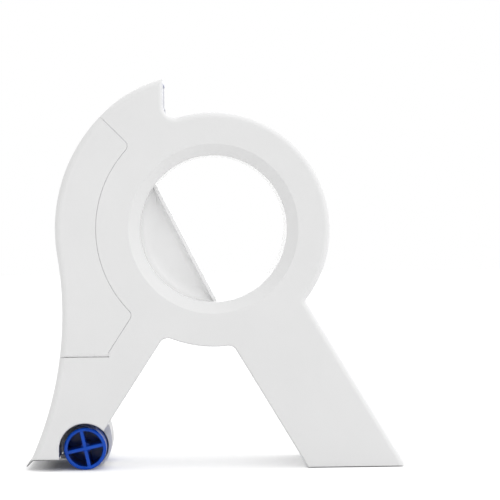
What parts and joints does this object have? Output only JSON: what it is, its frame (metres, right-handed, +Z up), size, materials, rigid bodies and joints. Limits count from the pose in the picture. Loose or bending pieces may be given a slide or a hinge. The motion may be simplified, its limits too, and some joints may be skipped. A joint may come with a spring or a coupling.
{
  "type": "masking tape applicator",
  "caption": "Hand tool that holds a roll of masking tape round a finger hub, presses the tape down with a spoked roller and cuts it on a toothed blade.",
  "frame": {"origin": "middle of the whole tool's box, on the plane that the roller and the leg stand on", "axes": "+Z up; +X from the blade to the leg; +Y across the tool, from the side with the loading door to the side with the snap windows"},
  "size_m": [0.1848, 0.062, 0.1893],
  "materials": {
    "white_shell": "fine satin moulded plastic",
    "white_inner": "smooth moulded plastic",
    "blue_plastic": "moulded blue plastic",
    "blue_tape": "creped masking tape",
    "core_board": "wound paper board",
    "bright_steel": "drawn wire",
    "blade_steel": "rolled strip",
    "bronze": "sintered bronze",
    "nylon": "natural nylon"
  },
  "bodies": {
    "frame": {"near_shell": "white_shell", "far_shell": "white_shell", "grip_hub": "white_shell", "tape_guide": "white_inner", "roller_bracket": "white_inner", "axle_bushing": "bronze", "thrust_washer_near": "nylon", "thrust_washer_far": "nylon", "blade": "blade_steel", "blade_holder": "white_inner", "blade_rivet_near": "bright_steel", "blade_rivet_middle": "bright_steel", "blade_rivet_far": "bright_steel", "door_hinge_pin": "bright_steel"},
    "door": {"loading_door": "white_shell"},
    "tape": {"tape_core": "core_board", "tape_roll": "blue_tape"},
    "roller": {"roller_near": "blue_plastic", "roller_far": "blue_plastic", "roller_axle": "bright_steel"}
  },
  "joints": [
    {"name": "door_swing", "type": "hinge", "parent": "frame", "child": "door", "pos_m": [-0.0623, -0.0298, 0.0562], "axis": [1, 0, 0], "range_deg": [0, 95]},
    {"name": "tape_spin", "type": "hinge", "parent": "frame", "child": "tape", "pos_m": [-0.00004, 0, 0.1164], "axis": [0, 1, 0], "continuous": true},
    {"name": "roller_spin", "type": "hinge", "parent": "frame", "child": "roller", "pos_m": [-0.06364, 0, 0.0103], "axis": [0, 1, 0], "continuous": true}
  ]
}
